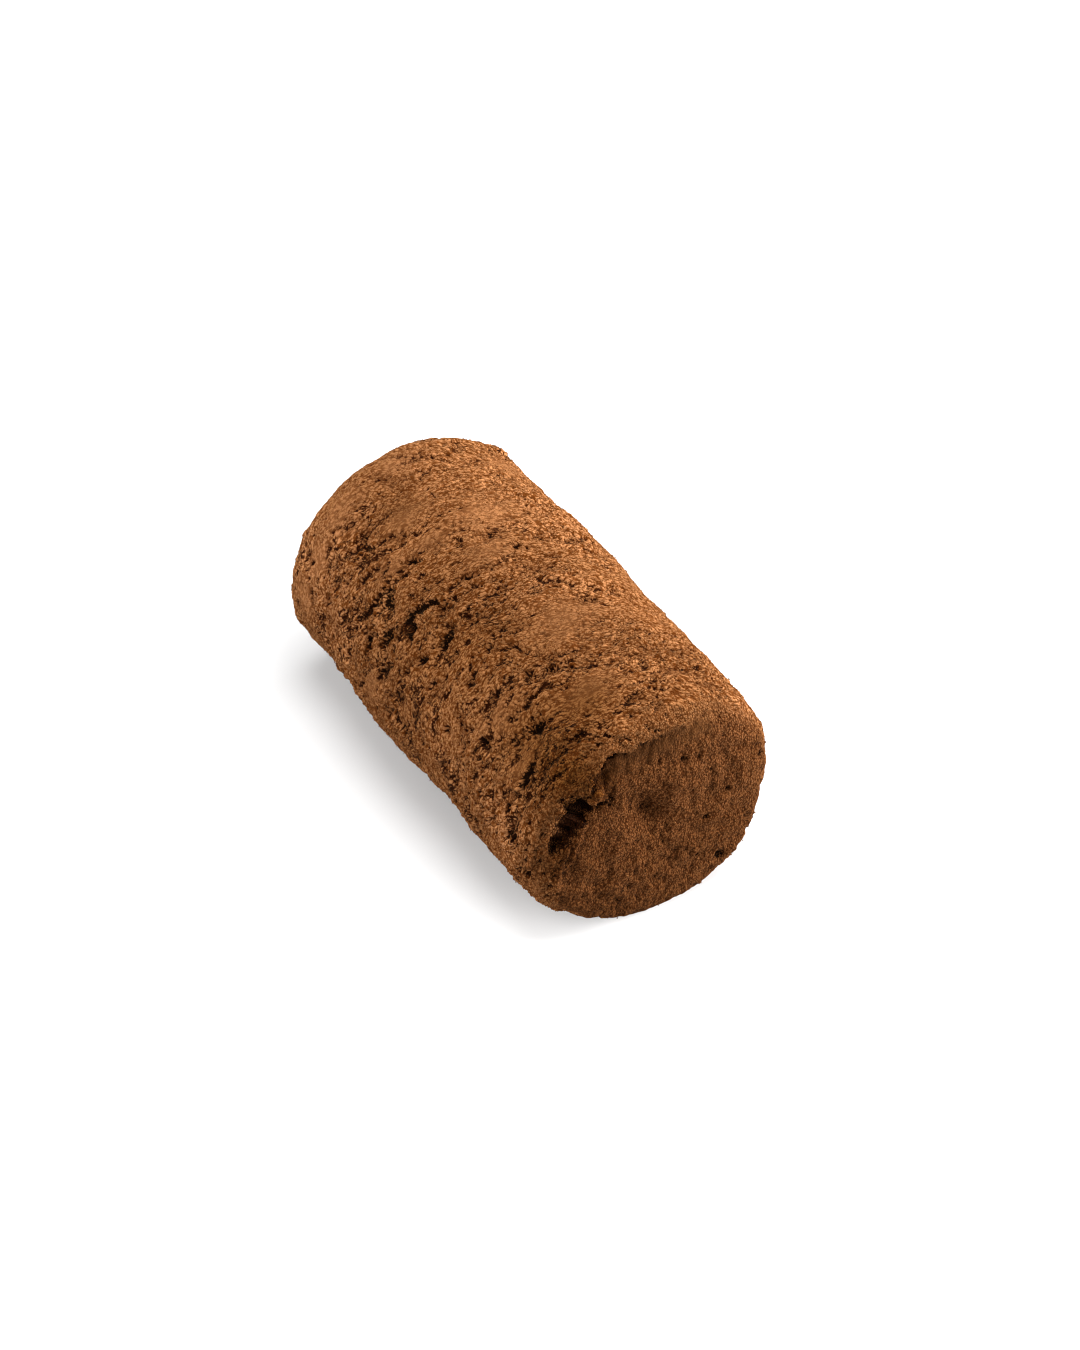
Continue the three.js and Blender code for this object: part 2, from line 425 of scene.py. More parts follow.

# %% [markdown]
# ## Lighter and darker areas
# Dry powder that lies thickly is lighter than a thin film of it, and the film thins where the log was
# touched. So every point gets a tone: a half is the plain colour, more is lighter and less is darker. Many of
# the spots also paint light and shade. They are lighter along the right edge, the far top and the left rims,
# as painted light, and darker by the crease, as painted shade. On the cut face every spot is painted light
# and shade. The side that the main lamp lights most is made a little darker as well. It could be painted on
# in
# Blender's Vertex Paint mode. A short list of soft spots is easier to change, and it can be read.

# %% Lighter and darker areas
BROAD_TONES = [  # millimetres along the log, degrees round it, reach in millimetres, lighter or darker
    (-12.0, 88, 6.0, 0.18), (-13.5, 154, 4.2, 0.29), (-9.4, 173, 3.2, 0.30), (-10.8, 110, 2.4, -0.18),
    (-4.0, 55, 4.6, 0.22), (6.0, 58, 4.6, 0.12), (1.5, 95, 2.6, 0.16), (2.9, 122, 3.2, -0.14),
    (12.8, 105, 1.9, -0.24), (12.5, 131, 3.6, -0.34), (16.6, 134, 2.0, -0.30), (12.8, 172, 2.6, 0.48),
    (5.9, 170, 3.0, 0.20), (-1.0, 142, 3.0, -0.06), (3.0, 300, 5.0, -0.15), (-9.0, 260, 5.0, 0.12),
]
# painted light and shade on the cut face: lighter at its lit right rim, upper right and plateau, darker by
# the crease, at the lower left rim, in a dent and at its foot
FACE_TONES = [  # y, z, reach in millimetres, lighter or darker
    (7.3, 14.8, 2.0, 0.32), (8.2, 8.8, 2.0, 0.28), (-4.3, 15.2, 1.3, -0.34), (-7.9, 9.6, 1.7, -0.34),
    (-4.6, 2.9, 2.4, -0.20), (-0.5, 0.9, 2.0, -0.14), (4.2, 13.4, 2.5, 0.15), (1.2, 10.3, 1.4, 0.26),
    (-1.5, 11.4, 0.9, -0.12),
]
tone = np.full(len(base), 0.5)
for *spot, change in BROAD_TONES:
    tone += change * soft_spot(*spot)
for face_y, face_z, reach, change in FACE_TONES:
    tone += change * bell(np.hypot(y - face_y, z - face_z), reach) * near_end
LIGHTEST_SIDE = 127  # degrees round the log; the side across from it is a little darker
# painted shade: the side across from the lightest, where the main lamp shines most, is made a little darker
turned_away = ease(abs((round_turn - LIGHTEST_SIDE + 180) % 360 - 180), 88, 112)
tone -= 0.08 * turned_away * (1 - end_share)
print("tone:", tone.min().round(2), "to", tone.max().round(2))

# %% [markdown]
# ## The coat's relief
# From large to small the coat has the slow swell left by the palm, humps, large and small flakes, a broken
# crust, lumps and dust. A flake is the hardest, because its real edge hangs over. Here its height climbs
# slowly along the log and drops at each edge, again and again. The foot of each drop and the brow above it
# are kept for the material, which paints shade on the foot and a highlight on the brow, so that the edge
# looks sharper than the net allows. Some bands round the log are more pitted than the rest, and rubbed places
# keep only a little of it all.

# %% Swell, crust, lumps and dust
# heights in millimetres
SWELL, HUMP, FLAKE, FLAKELET, CRAG, CRUST, LUMP, DUST = 0.060, 0.065, 0.25, 0.15, 0.035, 0.110, 0.045, 0.010
luck = np.random.default_rng(7)
PITTED_BANDS = [  # degrees round the log where a band begins, is full, fades and ends, and its strength
    (112, 138, 178, 196, 1.0), (215, 240, 270, 290, 0.7), (318, 332, 345, 358, 0.8),
]
pitted_side = sum(
    strength * ease(round_turn, begins, full) * (1 - ease(round_turn, fades, ends))
    for begins, full, fades, ends, strength in PITTED_BANDS)
pitted_side *= (1 - end_share) * ease(x, -14.0, -8.5) * (1 - worn)

swell = SWELL * steady(rolled(soft_noise, 5.5, 1.6, 2.0))
hump = HUMP * steady(rolled(soft_noise, 1.9, 2.2, 14.0))
crag = steady(rolled(broken_noise, 1.7, 1.7, 101.0))
crust = steady(rolled(broken_noise, 0.68, 3.1, 31.0))
lumps = steady(rolled(lump_noise, 0.34, 2.0, 50.0))
dust = luck.normal(0, DUST, len(base))
print("pitted bands cover", round(float((pitted_side > 0.5).mean()), 2), "of the skin")

# %% Flakes, and the whole coat
def plates(size, length, slant, steep, shift):
    """Overlapping flakes: the height climbs slowly along the log and drops at each edge, again and again."""
    climb = slant * rolled(plain_noise, 0.85 * size, length, shift) + flow[:, 0] / size + 0.05 * crust
    step = climb % 1
    foot = ease(size * np.minimum(step, 1 - step) / (1 + 0.7 * pitted_side), 0.30, 0.08)
    broken = ease(rolled(soft_noise, 1.9, 2.2, shift + 3.0), -0.06, 0.20)
    brow = ease(size * abs(step - (1 - steep)), 0.34, 0.06)
    height = np.interp(step, [0, 1 - steep, 1], [-0.5, 0.5, -0.5])
    return height * (1 - end_share), foot * broken * (1 - end_share), brow * broken * (1 - end_share)


flaky = ease(rolled(soft_noise, 2.4, 2.2, 58.0), -0.15, 0.25) * (1 - 0.6 * rubbed)
flaky_fine = ease(rolled(soft_noise, 1.7, 2.0, 64.0), -0.20, 0.25) * (1 - 0.8 * rubbed)
flakes, flake_feet, flake_brows = plates(2.3, 3.0, 1.5, 0.12, 47.0)
flakelets, flakelet_feet, flakelet_brows = plates(0.95, 2.6, 1.6, 0.24, 77.0)
coat = swell + hump + (FLAKE + 0.16 * pitted_side) * (1 - 0.6 * worn) * flaky * flakes
coat += FLAKELET * (1 - 0.6 * worn) * flaky_fine * flakelets
coat -= (0.12 + 0.08 * pitted_side) * flaky * flake_feet + 0.07 * flaky_fine * flakelet_feet
coat += (CRAG + 0.050 * pitted_side) * (1 - 0.7 * rubbed) * (1 - 0.6 * worn) * crag
coat += roughness_here * CRUST * crust + (0.35 + 0.65 * roughness_here) * (LUMP * lumps + dust)
HIGHEST = 0.45  # no relief of the coat is higher or deeper than this
coat = HIGHEST * np.tanh(coat / HIGHEST)
print("coat relief, mm:", coat.min().round(2), "to", coat.max().round(2))

# %% [markdown]
# ## Pits and cracks
# Here and there a clot of powder has dropped out and left a hole, which shows nearly black because light
# can't reach its floor. The largest, which anyone would know this truffle by, are placed one by one, each
# with a length, a width, a lean and a depth. Smaller ones, and all those on the unseen side, are strewn by a
# seeded random generator, so every run makes the same truffle. The smallest are torn holes, wherever a
# fractal noise runs high. Sculpting could make them all, but a sculpted pit can't be moved by changing a
# number.

# %% Placed and strewn pits
MARKS = [  # millimetres along, degrees round, half length, half width, lean towards the near end, depth
    (-2.7, 132, 1.10, 0.25, -20, 0.55), (-2.1, 141, 0.65, 0.20, 30, 0.50), (-5.5, 140, 0.40, 0.22, 30, 0.50),
    (0.8, 133, 0.70, 0.25, 15, 0.55), (0.1, 146, 0.40, 0.27, -20, 0.55), (-6.1, 120, 0.45, 0.16, -55, 0.45),
    (-10.0, 132, 0.30, 0.22, -35, 0.50), (-2.0, 108, 0.70, 0.13, -35, 0.42),
    (-1.0, 109, 0.30, 0.15, -40, 0.40), (-11.1, 122, 0.40, 0.13, -45, 0.38),
    (4.3, 127, 0.20, 0.15, -20, 0.45), (-7.6, 133, 0.35, 0.15, 5, 0.42), (-13.8, 156, 0.25, 0.18, -10, 0.38),
    (-9.7, 150, 0.22, 0.14, -25, 0.34), (-10.8, 163, 0.20, 0.18, 80, 0.36), (1.9, 133, 0.18, 0.15, -20, 0.42),
    (3.4, 148, 0.45, 0.20, 0, 0.42), (6.9, 132, 0.25, 0.18, -5, 0.46), (8.5, 150, 0.40, 0.27, 50, 0.55),
    (8.9, 156, 0.45, 0.20, 40, 0.48), (13.2, 147, 0.75, 0.33, 20, 0.55), (11.3, 129, 0.50, 0.22, 0, 0.50),
    (10.4, 138, 0.35, 0.18, 0, 0.36), (7.8, 117, 0.25, 0.15, 40, 0.36), (8.6, 108, 0.40, 0.13, -40, 0.38),
    (4.6, 161, 0.30, 0.20, -10, 0.42), (0.9, 112, 0.30, 0.14, -10, 0.40), (0.3, 99, 0.14, 0.14, 0, 0.40),
    (10.2, 148, 0.20, 0.15, 40, 0.38), (14.6, 101, 0.25, 0.13, -25, 0.34), (15.6, 109, 0.45, 0.13, -30, 0.34),
    (6.9, 150, 0.20, 0.14, -40, 0.38),
]
SMALL_MARKS = 34  # on each side of the log
SEEN_SIDE, UNSEEN_SIDE = (92, 178), (200, 390)  # degrees round the log

mark_luck = np.random.default_rng(12)


def lucky_mark(side, half_length, half_width, deepest):
    """A mark of a given size, at a random place between two directions round the log."""
    degrees = side[0] + (side[1] - side[0]) * mark_luck.beta(1.6, 1.6)
    return (mark_luck.uniform(-12.5, 15), degrees, half_length, half_width,
            mark_luck.normal(-5, 30), mark_luck.uniform(0.32, deepest))


small_marks = [
    lucky_mark(side, mark_luck.uniform(0.14, 0.28), 0.14, 0.40)
    for side in (SEEN_SIDE, UNSEEN_SIDE) for _ in range(SMALL_MARKS)]
marks_behind = [lucky_mark(UNSEEN_SIDE, *mark[2:4], 0.52) for mark in MARKS]
print("marks:", len(MARKS), "placed,", len(small_marks) + len(marks_behind), "strewn")

# %% How deep each place is pitted
TORN_DEPTH = 0.36


def mark_nearness(along, degrees, half_length, half_width, leaning):
    """1 at the middle of a mark, 0.7 at its edge and nothing far from it."""
    round_gap = np.radians((round_turn - degrees + 180) % 360 - 180) * BLANK_RADIUS
    along_gap = x + 0.12 * shiver[:, 0] - along
    across, down = math.cos(math.radians(leaning)), math.sin(math.radians(leaning))
    lengthwise = (round_gap * across + along_gap * down) / (1.30 * half_length)
    crosswise = (along_gap * across - round_gap * down) / (0.88 * half_width)
    return bell(np.hypot(lengthwise, crosswise), 1.67)


placed = np.zeros(len(base))
placed_depth = np.zeros(len(base))
for *shape, depth in MARKS + small_marks + marks_behind:
    near = mark_nearness(*shape) * (1 - end_share)
    deeper = near > placed
    placed[deeper] = near[deeper]
    placed_depth[deeper] = depth
torn = 0.30 * rolled(soft_noise, 0.30, 1.6, 120.0) + 0.30 * rolled(soft_noise, 0.7, 2.0, 130.0)
torn -= 0.07 * crust
pits = placed_depth * ease(placed + torn, 0.55, 0.85)

crowding = rolled(soft_noise, 3.4, 1.6, 90.0) + 0.45 * pitted_side - 0.32
torn_deep = steady(rolled(broken_noise, 0.46, 2.2, 140.0))
strewn = torn_deep - 0.7 * crust + 2.4 * np.clip(crowding, -0.6, 0.45)
strewn_pits = TORN_DEPTH * ease(strewn, 1.7, 2.6) * (1 - 0.85 * rubbed)
pits = np.maximum(pits, strewn_pits) * (1 - cut_face)
print("deepest pit, mm:", pits.max().round(2), " pitted share:", float((pits > 0.15).mean().round(3)))

# %% [markdown]
# ## The cut face's relief
# The knife dragged across the ganache and left short fine streaks, all leaning one way, over broad hollows
# and swells, with a few torn-out specks. Noise stretched one way makes the streaks, and bells in two lists
# make the broad forms and the specks. Painting them on as a bump would be quicker, but the broad forms catch
# the low light and so have to be real.

# %% Drag streaks and broad forms
DRAG_LEAN = math.radians(82)  # the way the streaks run, from +Y towards +Z
FACE_FORMS = [  # y, z, half length, half width, how far the length leans from +Y towards +Z, rise
    (-1.1, 10.9, 2.1, 1.0, 125, -0.50), (1.9, 11.4, 2.3, 1.5, 100, 0.26), (2.2, 9.2, 1.5, 0.4, 25, -0.16),
    (4.6, 7.4, 1.6, 0.7, 60, 0.14), (7.0, 11.0, 2.4, 0.9, 95, 0.16), (-3.4, 9.0, 2.2, 0.9, 70, 0.16),
    (5.4, 12.6, 1.4, 0.6, 110, -0.10), (0.5, 5.0, 2.0, 0.8, 50, -0.12), (-5.0, 6.5, 2.4, 0.8, 75, -0.10),
]

along_drag = y * math.cos(DRAG_LEAN) + z * math.sin(DRAG_LEAN)
across_drag = -y * math.sin(DRAG_LEAN) + z * math.cos(DRAG_LEAN)
dragged = np.stack([across_drag / 0.30, along_drag / 0.9, x / 0.8], axis=1)
face = 0.10 * soft_noise(dragged, 3.0) + 0.20 * soft_noise(base / 2.3, 6.0)
face += 0.14 * soft_noise(base / 0.95, 16.0) + 0.08 * soft_noise(base / 0.42, 9.0)
for form_y, form_z, half_length, half_width, leaning, rise in FACE_FORMS:
    way = math.radians(leaning)
    lengthwise = (y - form_y) * math.cos(way) + (z - form_z) * math.sin(way)
    crosswise = (z - form_z) * math.cos(way) - (y - form_y) * math.sin(way)
    face += rise * bell(np.hypot(lengthwise / half_length, crosswise / half_width), 1.0)
print("face relief, mm:", face.min().round(2), "to", face.max().round(2))

# %% [markdown]
# ## The crease and the raised lip
# Where the knife left the rim it dragged the rolled skin over. Under that fold lies a deep dark crease with a
# few small lumps in it, and thin ridges trail from its foot. Each is a path across the face, and the distance
# from the path decides how far a point moves. A Boolean cut would leave hard edges; this keeps the crease
# soft. The lip is given as a height for each direction round the face, like the edge before.

# %% The crease, its ridges and its lumps
CREASE = [  # y, z, depth, width
    (-3.6, 13.3, 0.25, 0.22), (-4.6, 13.3, 0.40, 0.32), (-5.5, 13.3, 0.70, 0.60), (-6.25, 13.6, 0.95, 1.20),
    (-6.6, 12.7, 0.90, 1.20), (-7.3, 11.7, 0.60, 0.85), (-8.0, 10.6, 0.30, 0.55),
]
RIDGE_PATHS = [
    [(-5.9, 12.2), (-6.6, 11.3), (-7.2, 10.4), (-7.7, 9.4), (-8.1, 8.1), (-8.4, 6.9)],
    [(-6.0, 11.6), (-6.6, 10.6), (-7.0, 9.4)],
    [(-4.9, 14.1), (-4.2, 13.4), (-3.5, 12.9)],
]


def path_distance(path):
    """How far each point is from a path, and how far along it the nearest place is, from 0 to 1."""
    best = np.full(len(base), 1e9)
    where = np.zeros(len(base))
    for number, (start, end) in enumerate(zip(path[:-1], path[1:])):
        run = np.subtract(end, start)
        gap = np.stack([y - start[0], z - start[1]], axis=1)
        share = np.clip(gap @ run / (run @ run), 0, 1)
        far = np.linalg.norm(gap - share[:, None] * run, axis=1)
        closer = far < best
        best[closer] = far[closer]
        where[closer] = (number + share[closer]) / (len(path) - 1)
    return best, where


wobble = 1 + 0.5 * soft_noise(base / 0.5, 33.0)
crease_far, crease_where = path_distance([point[:2] for point in CREASE])
crease_here, crease_wide = (
    np.interp(crease_where, np.linspace(0, 1, len(CREASE)), sizes) for sizes in list(zip(*CREASE))[2:])
crease = near_end * crease_here * bell(crease_far, 0.8 * crease_wide * wobble)
# painted shade over the crease and the coat beside it, laid on with the hollows' shade
crease_shade = near_end * ease(crease_here, 0.05, 0.5) * ease(crease_far / (crease_wide * wobble), 1.25, 0.75)
ridges = sum(0.30 * bell(path_distance(path)[0], 0.19) for path in RIDGE_PATHS) * near_end
CREASE_LUMPS = [(-4.65, 14.4, 0.40), (-5.25, 13.85, 0.36), (-5.9, 11.9, 0.25)]  # y, z, reach
for lump_y, lump_z, reach in CREASE_LUMPS:
    ridges += 0.55 * near_end * bell(np.hypot(y - lump_y, z - lump_z), reach)
print("crease depth, mm:", crease.max().round(2))

# %% Specks, and the lip
SPECKS = [  # y, z, reach, depth
    (2.2, 13.9, 0.30, 0.40), (-3.7, 12.9, 0.24, 0.38), (-4.6, 12.9, 0.16, 0.30), (5.5, 14.4, 0.18, 0.20),
    (5.7, 9.2, 0.22, 0.30), (3.8, 7.6, 0.22, 0.32), (5.1, 2.8, 0.42, 0.48), (8.7, 10.7, 0.24, 0.30),
    (0.2, 7.0, 0.14, 0.15), (7.3, 5.6, 0.20, 0.22), (-5.2, 16.0, 0.14, 0.20), (4.3, 11.9, 0.14, 0.14),
    (-2.1, 5.6, 0.14, 0.14), (3.2, 3.9, 0.20, 0.18), (-3.5, 3.0, 0.16, 0.14),
]
specks = np.zeros(len(base))
for speck_y, speck_z, reach, depth in SPECKS:
    specks += depth * bell(np.hypot(y - speck_y, z - speck_z), reach) * near_end * wobble
# painted shade under the coat's lip, at the top of the cut face
under_lip = near_end * bell(inside_edge - 0.7, 0.9) * bell(round_turn - 97, 30)

LIP_HEIGHTS = {  # degrees round the face: millimetres
    60: 0.0, 78: 0.12, 95: 0.28, 110: 0.42, 130: 0.36, 142: 0.12, 165: 0.12, 180: 0.22, 195: 0.10, 215: 0.0,
}
lip = near_end * read_round(LIP_HEIGHTS, round_turn)
lip *= (1 - ease(inside_edge, -0.10, 0.14)) * bell(np.minimum(inside_edge, 0), 1.6)
print("deepest speck, mm:", specks.max().round(2), " lip height, mm:", lip.max().round(2))

# %% [markdown]
# ## Push the skin out and in
# Every relief now adds up to one number for each point, and the point moves that far along its own outward
# direction. Near the table the relief fades, so the truffle still stands on its flat foot. Ten masks are kept
# on the mesh as attributes for the material: painted shade in small hollows, under flake edges and in the
# crease; painted shade in broad dells; crests, which get lighter powder and a painted highlight; pits;
# roughness; tone, which carries painted light and shade as well; rubbed powder, sharing its mask with a
# painted shaded band on the face; the ends; the cut face; and painted shade under its lip. An eleventh
# attribute, flow, is each point's place with the streaks combed straight. Blender can find edges by itself,
# as Pointiness, but a stored mask can use all that the script knows.

# %% Move the points
above_table = ease(z, 0.05, 0.9)
relief = (1 - cut_face) * (coat - pits) + cut_face * face
relief = (relief - crease + ridges - specks + lip) * above_table
moved = base + outward * relief[:, None]
moved[:, 2] = np.maximum(moved[:, 2], 0.0)
skin_mesh.vertices.foreach_set("co", (moved * MM).ravel())
skin_mesh.polygons.foreach_set("use_smooth", np.ones(len(squares), bool))
print("relief, mm:", relief.min().round(2), "to", relief.max().round(2))

# %% Masks for the material
rough_mark = np.clip((roughness_here - 0.25) / 0.9 + 0.35 * pitted_side - 0.3 * rubbed, 0, 1)
around_it = soften(relief, 7)
# painted shade in small hollows: the further a point lies below its surroundings, the darker
hollow = ease(around_it - relief, 0.0, 0.21)
# crests and the brows of flakes get lighter powder and a painted highlight
crest = ease(relief - soften(relief, 3), 0.0, 0.09)
crest = np.maximum(crest, 0.9 * np.maximum(flaky * flake_brows, flaky_fine * flakelet_brows) * (1 - cut_face))
depth_below = ease(soften(pits + specks, 2), 0.02, 0.44)
close_by = soften(relief, 4)
# painted shade in broad dells, where the relief lies below a wide surrounding
dell = ease(soften(close_by, 40) - close_by, 0.0, 0.15) * (1 - 0.5 * cut_face)
# painted shade: a band on the face just under the coat's edge, made smooth and darker; it shares a mask with
# rubbed powder
face_band = near_end * bell(inside_edge - 0.7, 1.0)
face_band *= ease(round_turn, 48, 62) * (1 - ease(round_turn, 118, 130))
# painted shade on the coat at the lower left of the rim, joined to the dells
rim_shade = near_end * bell(np.hypot(y + 8.2, (z - 10.3) / 1.4), 1.1)
dell = np.maximum(dell, 0.9 * rim_shade)
smeared = np.maximum(0.9 * rubbed * (1 - cut_face), face_band)
# painted shade under the edges of flakes and in the crease joins it, weaker on the side that the main lamp
# lights
under_flakes = np.maximum(flaky * flake_feet, 0.8 * flaky_fine * flakelet_feet) * (1 - cut_face)
lit_side = bell(round_turn - 66, 32) * (1 - end_share)
hollow = np.maximum(hollow, under_flakes) * (1 - 0.45 * lit_side)
hollow = np.maximum(hollow, 0.95 * crease_shade)


def keep(mesh, **masks):
    """Store one number for each point under each name."""
    for name, values in masks.items():
        mesh.attributes.new(name, "FLOAT", "POINT").data.foreach_set("value", values.astype(np.float32))


def keep_map(mesh, corners):
    mesh.uv_layers.new(name="OFBake").data.foreach_set("uv", corners.astype(np.float32).ravel())


keep(skin_mesh, hollow=hollow, crest=crest, pit=depth_below, cut_face=cut_face, rough=rough_mark)
keep(skin_mesh, end=end_share, under_lip=under_lip, dell=dell, tone=tone, smeared=smeared)
combed = skin_mesh.attributes.new("flow", "FLOAT_VECTOR", "POINT")
combed.data.foreach_set("vector", flow.astype(np.float32).ravel())
keep_map(skin_mesh, flat_map)
skin_mesh.update()
print("kept on the skin:", [kept.name for kept in skin_mesh.attributes])

# %% [markdown]
# ## Loose powder
# A relief is still a skin. What makes powder read as powder is that some of it merely lies there: clots the
# size of coarse sand, then crumbs, grains and dust between them. A particle system would be the quick way,
# but particles are lost when the model leaves Blender, so the grains are real meshes, joined in one piece for
# each kind. A clot starts as an icosphere of 80 faces, a crumb as one of 20, and the finest grains as
# octahedra, too small for anyone to see their eight faces. Each is made lopsided, drawn out round the log as
# rolling would do, turned a little off that line, and sunk partly into the skin at a random place.

# %% A scatter of lopsided grains
def grain_shape(subdivisions):
    """Points, triangles and flat map of one ball: an octahedron, an icosahedron or something rounder."""
    ball = bmesh.new()
    sheet = ball.loops.layers.uv.new("net")
    if subdivisions:
        bmesh.ops.create_icosphere(ball, subdivisions=subdivisions, radius=1.0, calc_uvs=True)
    else:
        bmesh.ops.create_uvsphere(ball, u_segments=4, v_segments=2, radius=1.0, calc_uvs=True)
    points = np.array([v.co[:] for v in ball.verts])
    triangles = np.array([[v.index for v in f.verts] for f in ball.faces])
    net = np.array([[loop[sheet].uv[:] for loop in f.loops] for f in ball.faces])
    ball.free()
    return points, triangles, net.reshape(-1, 2)


def grain_frames(normal, luck):
    """For each grain: its long direction, its short direction and its up direction."""
    round_log = np.cross([1.0, 0.0, 0.0], normal) + luck.normal(0, 0.35, normal.shape)
    long_way = round_log - normal * (round_log * normal).sum(1, keepdims=True)
    long_way /= np.linalg.norm(long_way, axis=1, keepdims=True) + 1e-9
    return np.stack([long_way, np.cross(normal, long_way), normal], axis=1)


def scatter(name, spots, radii, sink, subdivisions, lopsided, luck):
    """One mesh of many grains on the skin. Each has its own shade, kept as an attribute."""
    points, triangles, net = grain_shape(subdivisions)
    count = len(spots)
    normal = skin_normals[spots]
    centres = moved[spots] + luck.normal(0, 0.03, (count, 3))
    centres += normal * (radii * (1 - 2 * luck.uniform(*sink, count)))[:, None]
    stretch = luck.uniform((0.95, 0.78, 0.55), (1.40, 1.08, 0.88), (count, 3))[:, None]
    shaped = points * stretch * radii[:, None, None]
    shaped *= 1 + lopsided * luck.uniform(-1, 1, (count, len(points), 1))
    turned = np.einsum("npi,nij->npj", shaped, grain_frames(normal, luck)) + centres[:, None]
    turned = turned.reshape(-1, 3)
    turned[:, 2] = np.maximum(turned[:, 2], 0.0)
    faces = (triangles[None] + len(points) * np.arange(count)[:, None, None]).reshape(-1, 3)
    mesh = bpy.data.meshes.new(name)
    mesh.from_pydata((turned * MM).tolist(), [], faces.tolist())
    mesh.polygons.foreach_set("use_smooth", np.full(len(faces), subdivisions > 1))
    # grains on the cut face are darker, like the face, and grains in hollows carry the hollows' painted shade
    tone_here = tone[spots] - 0.12 * cut_face[spots] - 0.24 * hollow[spots]
    keep(mesh, shade=np.repeat(luck.uniform(0, 1, count), len(points)))
    keep(mesh, tone=np.repeat(tone_here, len(points)))
    cells = math.ceil(math.sqrt(count))
    corner = np.stack([np.arange(count) % cells, np.arange(count) // cells], axis=1)
    spread_map = (corner[:, None] + 0.04 + 0.92 * net[None]) / cells
    keep_map(mesh, spread_map)
    piece = bpy.data.objects.new(name, mesh)
    bpy.context.scene.collection.objects.link(piece)
    print(name + ":", count, "grains,", len(faces), "triangles")
    return piece

# %% Where the powder lies
skin_normals = read_points(skin_mesh, "normal")
open_coat = (1 - 0.93 * cut_face) * (1 - 0.4 * rubbed) * (1 - 0.9 * depth_below) * ease(z, 0.4, 0.9)
open_coat *= 1 - 0.75 * worn


def strew(count, weights, sizes, luck):
    """Places on the skin, picked by weight, with each grain's radius."""
    spots = luck.choice(len(base), count, replace=False, p=weights / weights.sum())
    return spots, sizes[0] + (sizes[1] - sizes[0]) * luck.uniform(0, 1, count) ** 2


def lay_powder(name, seed, count, weights, sizes, placed=(), **form):
    """One kind of powder, strewn by its own seeded luck, with a few grains placed one by one."""
    luck = np.random.default_rng(seed)
    spots, radii = strew(count, weights, sizes, luck)
    for *place, radius in placed:
        spots = np.append(spots, np.argmin(((moved - place) ** 2).sum(1)))
        radii = np.append(radii, radius)
    return scatter(name, spots, radii, luck=luck, **form)


LIP_CLOTS = [  # x, y, z, radius
    (16.8, -4.7, 14.5, 0.34), (16.8, -5.3, 13.9, 0.32), (16.6, -5.0, 14.3, 0.22), (16.7, -4.2, 13.9, 0.22),
]
clustered = ease(rolled(soft_noise, 0.8, 2.0, 160.0), -0.25, 0.35)
for_crumbs = open_coat * (0.2 + roughness_here) * (0.15 + clustered)
clots = lay_powder("cocoa_clots", 21, 1800, open_coat * roughness_here ** 2, (0.08, 0.17), LIP_CLOTS,
                   sink=(0.72, 0.92), subdivisions=2, lopsided=0.16)
crumbs = lay_powder("cocoa_crumbs", 22, 9900, for_crumbs, (0.065, 0.125),
                    sink=(0.68, 0.92), subdivisions=1, lopsided=0.25)
grains = lay_powder("cocoa_grains", 23, 24900, open_coat * (0.3 + clustered), (0.05, 0.095),
                    sink=(0.5, 0.85), subdivisions=0, lopsided=0.25)
dusting = lay_powder("cocoa_dust", 24, 24900, open_coat + 0.14 * cut_face, (0.045, 0.08),
                     sink=(0.5, 0.85), subdivisions=0, lopsided=0.25)

# %% [markdown]
# ## Wiring nodes by script
# In Blender a material is drawn as a graph, with a wire from each result to where it is used. A script can
# draw that graph too: every step below makes one node, wires or sets its inputs and gives back its result, so
# that a material reads like a recipe. Painted images would be the other way, but an image has one fixed
# sharpness.

# %% Helpers for wiring nodes
def put(tree, socket, value):
    """Link another node's output to a socket, or set the socket to a plain value."""
    if isinstance(value, bpy.types.NodeSocket):
        tree.links.new(value, socket)
    elif socket.type == "RGBA" and len(value) == 3:
        socket.default_value = (*value, 1)
    else:
        socket.default_value = value


def arithmetic(tree, how, *values, kind="Math"):
    """A step of arithmetic with numbers, or with kind="VectorMath" with vectors."""
    step = tree.nodes.new("ShaderNode" + kind)
    step.operation = how
    for socket, value in zip(step.inputs, values):
        put(tree, socket, value)
    return step.outputs[0]


def slope(tree, value, low, high):
    """A smooth step from 0 at low to 1 at high. low may be the larger one."""
    step = tree.nodes.new("ShaderNodeMapRange")
    step.interpolation_type = "SMOOTHSTEP"
    for name, number in (("Value", value), ("From Min", low), ("From Max", high)):
        put(tree, step.inputs[name], number)
    return step.outputs["Result"]


def cloud(tree, place, scale, detail):
    texture = tree.nodes.new("ShaderNodeTexNoise")
    for name, number in (("Vector", place), ("Scale", scale), ("Detail", detail), ("Roughness", 0.7)):
        put(tree, texture.inputs[name], number)
    return texture.outputs


def mix_colour(tree, share, first, second, how="MIX"):
    mixer = tree.nodes.new("ShaderNodeMix")
    mixer.data_type = "RGBA"
    mixer.blend_type = how
    for socket, value in ((0, share), (6, first), (7, second)):
        put(tree, mixer.inputs[socket], value)
    return mixer.outputs[2]


def times(tree, colour, factors):
    return mix_colour(tree, 1.0, colour, factors, "MULTIPLY")


def mix_value(tree, share, first, second):
    mixer = tree.nodes.new("ShaderNodeMix")
    for socket, value in ((0, share), (2, first), (3, second)):
        put(tree, mixer.inputs[socket], value)
    return mixer.outputs[0]


def new_material(name):
    material = bpy.data.materials.new(name)
    material.use_nodes = True
    return material, material.node_tree, material.node_tree.nodes["Principled BSDF"]


print("helpers for nodes are ready")
